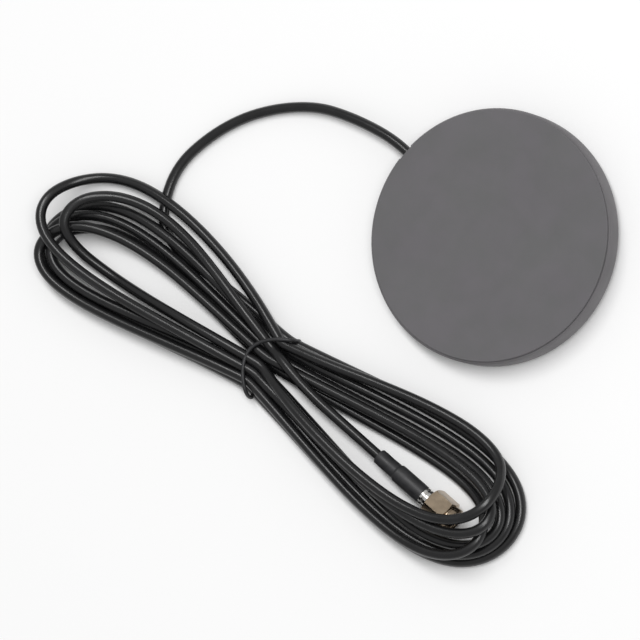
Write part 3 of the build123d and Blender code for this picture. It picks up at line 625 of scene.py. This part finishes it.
# The stage: the photograph's scale, and its middle seen from the puck's middle, in mm
PICTURE_PIXELS = 640
PIXELS_PER_MM = 3.794
PICTURE_RIGHT, PICTURE_UP = -47.84, -21.19
# the camera's sensor in mm, and the nearest and farthest that it sees, in metres
SENSOR_WIDTH = 36.0
NEAREST, FARTHEST = 0.1, 30.0
# the floor's reach from its middle and its depth below the object, in metres
FLOOR_REACH, FLOOR_DROP = 6.0, 0.00002
# squares along each of the floor's sides
FLOOR_SQUARES = 8
# the lamp's two sides, its place and the point that it looks at, in metres
LAMP_LENGTH, LAMP_WIDTH = 2.4, 0.45
LAMP_PLACE = Vector((0.0, 0.54, 1.88))
LAMP_AIM = Vector((-0.02, -0.04, 0.0))
WHITE = (1.0, 1.0, 1.0, 1.0)


def photo_camera(settings):
    """The camera at the photograph's angle and scale."""
    turn, rise, roll = settings.azimuth, settings.elevation, settings.roll
    towards = Vector((cos(rise) * cos(turn), cos(rise) * sin(turn), sin(rise)))
    level = Vector((cos(turn) * sin(rise), sin(turn) * sin(rise), -cos(rise)))
    across = Vector((-sin(turn), cos(turn), 0.0))
    right = cos(roll) * level - sin(roll) * across
    up = sin(roll) * level + cos(roll) * across
    middle = (PICTURE_RIGHT * right + PICTURE_UP * up) * MM
    camera = bpy.data.objects.new("camera", bpy.data.cameras.new("camera"))
    camera.data.sensor_width = SENSOR_WIDTH
    picture_width = PICTURE_PIXELS / PIXELS_PER_MM * MM
    camera.data.lens = camera.data.sensor_width * settings.distance / picture_width
    camera.data.clip_start = NEAREST
    camera.data.clip_end = FARTHEST
    axes = Matrix((right, up, towards)).transposed().to_4x4()
    camera.matrix_world = Matrix.Translation(middle + towards * settings.distance) @ axes
    return camera


def studio_paper(colour, glow_strength):
    """Pale matt paper, which the camera and reflections see a little brighter than it is lit."""
    paper = finish_of("studio_paper", colour, roughness=0.9, Specular_IOR_Level=0.1)
    nodes, links = paper.node_tree.nodes, paper.node_tree.links
    seen = nodes.new("ShaderNodeLightPath")
    seen_share = nodes.new("ShaderNodeMath")
    seen_share.operation = "MAXIMUM"
    links.new(seen.outputs["Is Camera Ray"], seen_share.inputs[0])
    links.new(seen.outputs["Is Glossy Ray"], seen_share.inputs[1])
    glow = nodes.new("ShaderNodeMath")
    glow.operation = "MULTIPLY"
    glow.inputs[1].default_value = glow_strength
    links.new(seen_share.outputs["Value"], glow.inputs[0])
    shader = nodes["Principled BSDF"]
    shader.inputs["Emission Color"].default_value = WHITE
    links.new(glow.outputs["Value"], shader.inputs["Emission Strength"])
    return paper


def paper_floor(paper):
    """Flat floor that the object lies on."""
    shape = bmesh.new()
    bmesh.ops.create_grid(
        shape, x_segments=FLOOR_SQUARES, y_segments=FLOOR_SQUARES, size=FLOOR_REACH
    )
    bmesh.ops.translate(shape, verts=shape.verts, vec=(0.0, 0.0, -FLOOR_DROP))
    mesh = bpy.data.meshes.new("floor")
    shape.to_mesh(mesh)
    shape.free()
    mesh.materials.append(paper)
    return bpy.data.objects.new("floor", mesh)


def even_light(strength):
    """White light from all round."""
    world = bpy.data.worlds.new("studio")
    world.use_nodes = True
    background = world.node_tree.nodes["Background"]
    background.inputs["Color"].default_value = WHITE
    background.inputs["Strength"].default_value = strength
    return world


def long_lamp(power):
    """A long soft lamp that looks at the object, so that strands shine along their length."""
    data = bpy.data.lights.new("key_lamp", "AREA")
    data.shape = "RECTANGLE"
    data.size = LAMP_LENGTH
    data.size_y = LAMP_WIDTH
    data.energy = power
    lamp = bpy.data.objects.new("key_lamp", data)
    lamp.location = LAMP_PLACE
    lamp.rotation_euler = (LAMP_AIM - LAMP_PLACE).to_track_quat("-Z", "Y").to_euler()
    lamp.visible_camera = False
    return lamp


class ANTENNA_OT_stage(Operator):
    """Pale floor, soft studio light and the camera at the photograph's angle"""

    bl_idname = "antenna.stage"
    bl_label = "Stage and Camera"

    def execute(self, context):
        settings = context.scene.antenna_stage
        scene = context.scene
        scene.camera = photo_camera(settings)
        floor = paper_floor(studio_paper(tuple(settings.floor_colour), settings.floor_glow))
        for piece in (scene.camera, floor, long_lamp(settings.key_strength)):
            scene.collection.objects.link(piece)
        scene.world = even_light(settings.sky_strength)
        scene.view_settings.view_transform = "Standard"
        return {"FINISHED"}


class ANTENNA_OT_lead(Operator):
    """The coaxial lead: arc from the puck, tied hank and tail, as one spline"""

    bl_idname = "antenna.lead"
    bl_label = "Coaxial Lead"

    def execute(self, context):
        settings = context.scene.antenna_lead
        diameter = settings.diameter / MM
        points = lead_points(
            diameter, settings.strand_pitch, settings.points_per_lobe, settings.tie_diameter / MM,
        )
        piece = line_object("antenna_lead", points, LEAD_STEPS)
        piece.data.bevel_depth = settings.diameter / 2
        piece.data.bevel_resolution = ROUND_STEPS
        piece.data.use_fill_caps = True
        piece.data.materials.append(lead_jacket(tuple(settings.jacket_colour)))
        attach(piece, "puck")
        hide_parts("lead", "lead_hank", "lead_tail")
        return {"FINISHED"}


def tie_side(reach, top, half):
    """One side of the tie from the middle below to the middle above: across and up in mm."""
    return (
        (0.0, -half), (reach - 4.5, -half), (reach - 1.0, -half), (reach + half, -0.1),
        (reach + half, 1.9), (reach + 0.2, top - 0.9), (reach - 1.2, top + half),
        (reach - 5.0, top + half), (0.0, top + half),
    )


def tie_shape(diameter, pitch, thickness):
    """The closed ring round the strands, whose top leans towards the left loop; sizes in mm."""
    reach = (UPPER_SLOTS[0][0] * pitch + 0.5) * diameter
    top = diameter + layer_rise(diameter, pitch)
    side = tie_side(reach, top, thickness / 2)
    outline = [*side, *((-across, up) for across, up in reversed(side[1:-1]))]
    curve = bpy.data.curves.new("tie_path", "CURVE")
    curve.dimensions = "3D"
    curve.resolution_u = TIE_STEPS
    spline = curve.splines.new("NURBS")
    spline.points.add(len(outline) - 1)
    for point, (across, up) in zip(spline.points, outline):
        lean = TIE_LEAN * max(0.0, up) / top * (1 - (across / reach) ** 2)
        place = (TIE_FOOT - lean, TIE_PLACE[1] + across, thickness + up)
        point.co = (*(part * MM for part in place), 1.0)
    spline.order_u = 4
    spline.use_cyclic_u = True
    curve.bevel_depth = thickness / 2 * MM
    curve.bevel_resolution = TIE_ROUND_STEPS
    path = bpy.data.objects.new("tie_path", curve)
    bpy.context.scene.collection.objects.link(path)
    mesh = mesh_of(path)
    bpy.data.objects.remove(path)
    shape = bmesh.new()
    shape.from_mesh(mesh)
    bpy.data.meshes.remove(mesh)
    bmesh.ops.remove_doubles(shape, verts=shape.verts, dist=MERGED)
    bmesh.ops.recalc_face_normals(shape, faces=shape.faces)
    return shape


class ANTENNA_OT_tie(Operator):
    """Thin closed tie that pinches the hank"""

    bl_idname = "antenna.tie"
    bl_label = "Cable Tie"

    def execute(self, context):
        settings = context.scene.antenna_lead
        shape = tie_shape(
            settings.diameter / MM, settings.strand_pitch, settings.tie_diameter / MM
        )
        made("hank_tie", shape, tie_rubber(), "puck", ("cable_tie",), smooth=60.0)
        return {"FINISHED"}


class ANTENNA_OT_housing(Operator):
    """Moulded round housing with its rounded edge and lead notch"""

    bl_idname = "antenna.housing"
    bl_label = "Housing"

    def execute(self, context):
        colour = tuple(context.scene.antenna_puck.housing_colour)
        plastic = moulded("housing_plastic", colour, roughness=0.52)
        made("puck_housing", cad_copy("housing"), plastic, "puck", ("housing",))
        return {"FINISHED"}


# The pad, in mm: height of its undercut foot and of the lip above it, and the lip's chamfer
PAD_FOOT, PAD_LIP, LIP_CHAMFER = 0.28, 0.1, 0.04
# points of the pad's rounded edge, and the rings on its face as shares of its radius
EDGE_POINTS = 6
FACE_RINGS = (0.985, 0.9, 0.6, 0.3)


class ANTENNA_OT_face_pad(Operator):
    """Thin matt pad on the puck's face, with an undercut foot"""

    bl_idname = "antenna.face_pad"
    bl_label = "Face Pad"

    def execute(self, context):
        settings = context.scene.antenna_puck
        low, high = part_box("face_pad")
        bottom, top = low.z / MM, high.z / MM
        radius = settings.pad_diameter / 2 / MM
        foot_radius = radius - settings.pad_gap / MM
        edge = settings.pad_edge / MM
        foot = bottom + PAD_FOOT
        outline = [(bottom, 0.0), (bottom, foot_radius), (foot, foot_radius)]
        outline += [(foot + LIP_CHAMFER, radius - LIP_CHAMFER), (foot + PAD_LIP, radius)]
        for k in range(EDGE_POINTS):
            angle = k / (EDGE_POINTS - 1) * pi / 2
            outline.append((top - edge + edge * sin(angle), radius - edge + edge * cos(angle)))
        outline += [(top, radius * share) for share in FACE_RINGS]
        outline.append((top, 0.0))
        shape = turned(outline, Vector(), UP, Vector((1.0, 0.0, 0.0)), PAD_STEPS)
        skin = pad_skin(tuple(settings.pad_colour))
        made("puck_face_pad", shape, skin, "puck", ("face_pad",))
        return {"FINISHED"}


class ANTENNA_OT_closing_plate(Operator):
    """Closing plate and its countersunk screws, under the pad"""

    bl_idname = "antenna.closing_plate"
    bl_label = "Closing Plate"

    def execute(self, context):
        colour = tuple(context.scene.antenna_puck.housing_colour)
        dress("base_plate", moulded("plate_plastic", colour, roughness=0.56))
        dress("base_screws", plated("screw_steel", (0.44, 0.44, 0.46), roughness=0.32))
        return {"FINISHED"}


class ANTENNA_OT_loop_coil(Operator):
    """Coil former, loop winding and the winding's two ends"""

    bl_idname = "antenna.loop_coil"
    bl_label = "Loop Coil"

    def execute(self, context):
        dress("coil_former", moulded("former_plastic", (0.02, 0.021, 0.022), roughness=0.5))
        enamel = enamelled_wire()
        for node in ("loop_winding", "loop_tails", "transformer_winding"):
            dress(node, enamel)
        return {"FINISHED"}


class ANTENNA_OT_board(Operator):
    """Circuit board with its parts and screws"""

    bl_idname = "antenna.board"
    bl_label = "Circuit Board"

    def execute(self, context):
        dress("circuit_board", board_mask())
        dress("board_screws", plated("board_screw_steel", (0.5, 0.5, 0.5), roughness=0.3))
        dress("solder_joints", plated("solder_tin", (0.60, 0.60, 0.62), roughness=0.3))
        # node, its finish, colour, roughness and cells of grain to the metre
        parts = (
            ("transformer_core", "core_ferrite", (0.03, 0.03, 0.032), 0.6, 2400.0),
            ("amplifier_chip", "chip_body", (0.014, 0.014, 0.015), 0.5, 6000.0),
            ("chip_capacitors", "capacitor_ceramic", (0.33, 0.24, 0.16), 0.45, 4000.0),
            ("chip_resistors", "resistor_ceramic", (0.05, 0.05, 0.055), 0.4, 4000.0),
        )
        for node, *finish in parts:
            dress(node, moulded(*finish))
        return {"FINISHED"}


class ANTENNA_OT_lead_end(Operator):
    """Layers of the lead inside the puck and the ring that holds it"""

    bl_idname = "antenna.lead_end"
    bl_label = "Lead End"

    def execute(self, context):
        jacket = tuple(context.scene.antenna_lead.jacket_colour)
        white, copper, brass = (0.72, 0.72, 0.70), (0.66, 0.50, 0.38), (0.62, 0.46, 0.22)
        dress("lead_inner", moulded("inner_jacket", jacket, roughness=0.42, grain=3800.0))
        dress("lead_crimp_ring", plated("crimp_ring_brass", brass, roughness=0.34))
        dress("lead_braid", braided_screen())
        dress("lead_dielectric", moulded("white_dielectric", white, roughness=0.4, grain=3000.0))
        dress("lead_conductor", plated("tinned_copper", copper, roughness=0.3))
        return {"FINISHED"}


# The boot's two bores, in mm: on the lead and over the crimp
LEAD_BORE, CRIMP_BORE = 1.42, 2.05
# uneven shrinking of its outside, in metres: cells to the metre, height, smallest radius
RIPPLE_CELLS, RIPPLE_HEIGHT, RIPPLE_RADIUS = 420.0, 0.00005, 0.0021


class ANTENNA_OT_boot(Operator):
    """Shrunk boot behind the plug, narrow on the lead and wide over the crimp"""

    bl_idname = "antenna.boot"
    bl_label = "Boot"

    def execute(self, context):
        outline = (
            (-16.8, LEAD_BORE), (-16.8, 2.13), (-15.2, 2.17), (-13.0, 2.12), (-11.2, 2.16),
            (-10.15, 2.17), (-9.6, 2.5), (-8.2, 2.55), (-5.2, 2.52), (-2.4, 2.55), (-0.5, 2.52),
            (0.0, 2.42), (0.0, CRIMP_BORE), (-9.55, CRIMP_BORE), (-9.75, LEAD_BORE),
        )
        outline = rounded(outline, radius=0.16)
        shape = turned(outline, PLUG_REAR, PLUG_LINE, PLUG_SIDE, PLUG_STEPS)
        for vertex in shape.verts:
            ripple = noise.noise(vertex.co * RIPPLE_CELLS)
            off = vertex.co - (PLUG_REAR + PLUG_LINE * (vertex.co - PLUG_REAR).dot(PLUG_LINE))
            if off.length > RIPPLE_RADIUS:
                vertex.co += off.normalized() * ripple * RIPPLE_HEIGHT
        made("lead_boot", shape, boot_sleeve(), "puck", ("shrink_boot",))
        return {"FINISHED"}


# Radii of the plug's body, in mm, from its tail to its mouth
SHANK, COLLAR, COLLAR_GROOVE, NECK = 1.15, 2.6, 2.42, 2.3
RING_GROOVE, BODY_MOUTH, INSULATOR_BORE = 2.0, 2.05, 1.4


class ANTENNA_OT_plug_body(Operator):
    """Body of the plug, and the parts inside it"""

    bl_idname = "antenna.plug_body"
    bl_label = "Plug Body"

    def execute(self, context):
        outline = (
            (-8.5, 0.0), (-8.5, SHANK), (0.0, SHANK), (0.0, COLLAR), (0.75, COLLAR),
            (0.9, COLLAR_GROOVE), (1.15, COLLAR_GROOVE), (1.3, COLLAR), (2.3, COLLAR),
            (2.3, NECK), (4.38, NECK), (4.38, RING_GROOVE), (4.92, RING_GROOVE), (4.92, NECK),
            (5.9, NECK), (5.9, COLLAR), (7.0, COLLAR), (7.0, NECK), (7.9, NECK),
            (7.9, BODY_MOUTH), (5.4, BODY_MOUTH), (5.4, INSULATOR_BORE), (1.0, INSULATOR_BORE),
            (1.0, 0.0),
        )
        outline = rounded(outline, radius=0.1, steps=2)
        shape = turned(outline, PLUG_REAR, PLUG_LINE, PLUG_SIDE, PLUG_STEPS)
        colour = tuple(context.scene.antenna_plug.collar_colour)
        nickel = plated("body_nickel", colour, roughness=0.2)
        made("plug_shell", shape, nickel, "puck", ("plug_body",))
        white, rubber = (0.76, 0.76, 0.74), (0.05, 0.02, 0.015)
        brass, gold, bronze = (0.66, 0.56, 0.40), (0.86, 0.62, 0.26), (0.60, 0.42, 0.22)
        dress("crimp_sleeve", plated("sleeve_brass", brass, roughness=0.34))
        dress("plug_insulator", moulded("plug_dielectric", white, roughness=0.4, grain=3000.0))
        dress("plug_pin", plated("pin_gold", gold, roughness=0.2))
        dress("plug_gasket", moulded("gasket_rubber", rubber, roughness=0.5, grain=3000.0))
        dress("nut_retaining_ring", plated("ring_bronze", bronze, roughness=0.32))
        return {"FINISHED"}


# The nut along the plug's line, in mm: end of the hexagon, and the step where its bore widens
HEXAGON_END, BORE_STEP = 9.2, 4.2
# the hexagon's chamfer, along the line and towards it
CHAMFER_ALONG, CHAMFER_IN = 0.42, 0.75
# the nut's round radii, in mm
NOSE, NOSE_GROOVE, NUT_MOUTH, NUT_BORE = 3.75, 3.5, 2.9, 2.35
# the inside thread: pitch and start along the plug's line in mm, turns, segments of a turn
THREAD_PITCH, THREAD_START, THREAD_TURNS, STEPS_A_TURN = 0.706, 7.35, 4.6, 48
# the thread's ridge: distance along the line and radius, in mm
THREAD_RIDGE = ((0.0, 2.93), (0.16, 2.62), (0.26, 2.62), (0.42, 2.93))


class ANTENNA_OT_coupling_nut(Operator):
    """Hexagonal coupling nut with a round nose and an inside thread"""

    bl_idname = "antenna.coupling_nut"
    bl_label = "Coupling Nut"

    def execute(self, context):
        settings = context.scene.antenna_plug
        metal = nut_metal(tuple(settings.nut_colour))
        shape = self.hexagon(settings.across_flats / 2 / MM, settings.nut_turn)
        nut = made("nut_shell", shape, metal, "nut", ("coupling_nut",), 20.0)
        bevel = nut.modifiers.new("edge", "BEVEL")
        bevel.width = 0.00007
        bevel.segments = 2
        bevel.limit_method = "ANGLE"
        bevel.angle_limit = radians(24.0)
        bevel.harden_normals = True
        made("nut_thread", self.thread(), metal, "nut", smooth=30.0)
        return {"FINISHED"}

    def hexagon(self, flat, turn):
        """Round blank with its nose, and six flats cut at their distance from the line in mm."""
        corner = flat / cos(pi / 6)
        end_face = corner - CHAMFER_IN
        blank = (
            (NUT_REAR, NUT_BORE), (NUT_REAR, end_face), (NUT_REAR + CHAMFER_ALONG, corner),
            (HEXAGON_END - CHAMFER_ALONG, corner), (HEXAGON_END, end_face), (HEXAGON_END, 3.62),
            (9.42, NOSE_GROOVE), (9.62, NOSE_GROOVE), (9.78, NOSE), (10.95, NOSE),
            (NUT_FRONT, 3.4), (NUT_FRONT, 3.25), (10.85, NUT_MOUTH), (BORE_STEP, NUT_MOUTH),
            (BORE_STEP, NUT_BORE),
        )
        # no arc at the chamfers' outer edges, where the flats are cut
        outline = rounded(blank, radius=0.07, steps=2, skip=(2, 3))
        shape = turned(outline, PLUG_REAR, PLUG_LINE, PLUG_SIDE, NUT_STEPS)
        across = PLUG_LINE.cross(UP)
        for side in range(6):
            angle = turn + side * pi / 3
            facing = UP * cos(angle) + across * sin(angle)
            geom = [*shape.verts, *shape.edges, *shape.faces]
            cut = bmesh.ops.bisect_plane(
                shape, geom=geom, dist=VANISHING, plane_co=PLUG_REAR + facing * (flat * MM),
                plane_no=facing, clear_outer=True,
            )
            rim = [edge for edge in cut["geom_cut"] if isinstance(edge, bmesh.types.BMEdge)]
            bmesh.ops.holes_fill(shape, edges=rim, sides=0)
        bmesh.ops.recalc_face_normals(shape, faces=shape.faces)
        return shape

    def thread(self):
        """Ridge of the inside thread, spun along the plug's line."""
        shape = bmesh.new()
        foot = PLUG_REAR + PLUG_LINE * (THREAD_START * MM)
        corners = [
            shape.verts.new(foot + PLUG_LINE * (along * MM) + PLUG_SIDE * (radius * MM))
            for along, radius in THREAD_RIDGE
        ]
        face = shape.faces.new(corners)
        bmesh.ops.spin(
            shape, geom=[*corners, *face.edges, face], cent=foot, axis=PLUG_LINE,
            dvec=PLUG_LINE * (THREAD_PITCH * MM / STEPS_A_TURN), angle=2 * pi * THREAD_TURNS,
            steps=int(THREAD_TURNS * STEPS_A_TURN), use_merge=False, use_duplicate=False,
        )
        bmesh.ops.recalc_face_normals(shape, faces=shape.faces)
        return shape


OPERATORS = (
    ANTENNA_OT_stage, ANTENNA_OT_housing, ANTENNA_OT_face_pad, ANTENNA_OT_closing_plate,
    ANTENNA_OT_loop_coil, ANTENNA_OT_board, ANTENNA_OT_lead_end, ANTENNA_OT_boot,
    ANTENNA_OT_plug_body, ANTENNA_OT_coupling_nut, ANTENNA_OT_tie, ANTENNA_OT_lead,
)


class VIEW3D_PT_loop_antenna(Panel):
    bl_label = "Loop Antenna"
    bl_space_type = "VIEW_3D"
    bl_region_type = "UI"
    bl_category = "Loop Antenna"

    def draw(self, context):
        for operator in OPERATORS:
            self.layout.operator(operator.bl_idname)


SETTINGS = {
    "antenna_puck": PuckSettings,
    "antenna_lead": LeadSettings,
    "antenna_plug": PlugSettings,
    "antenna_stage": StageSettings,
}


def register():
    for group in SETTINGS.values():
        bpy.utils.register_class(group)
    for operator in (*OPERATORS, VIEW3D_PT_loop_antenna):
        bpy.utils.register_class(operator)
    for name, group in SETTINGS.items():
        setattr(bpy.types.Scene, name, PointerProperty(type=group))


def unregister():
    for name in SETTINGS:
        delattr(bpy.types.Scene, name)
    for operator in (VIEW3D_PT_loop_antenna, *reversed(OPERATORS)):
        bpy.utils.unregister_class(operator)
    for group in SETTINGS.values():
        bpy.utils.unregister_class(group)


def main():
    register()
    for operator in OPERATORS:
        area, name = operator.bl_idname.split(".")
        getattr(getattr(bpy.ops, area), name)()
    bpy.context.view_layer.update()


if __name__ == "__main__":
    main()
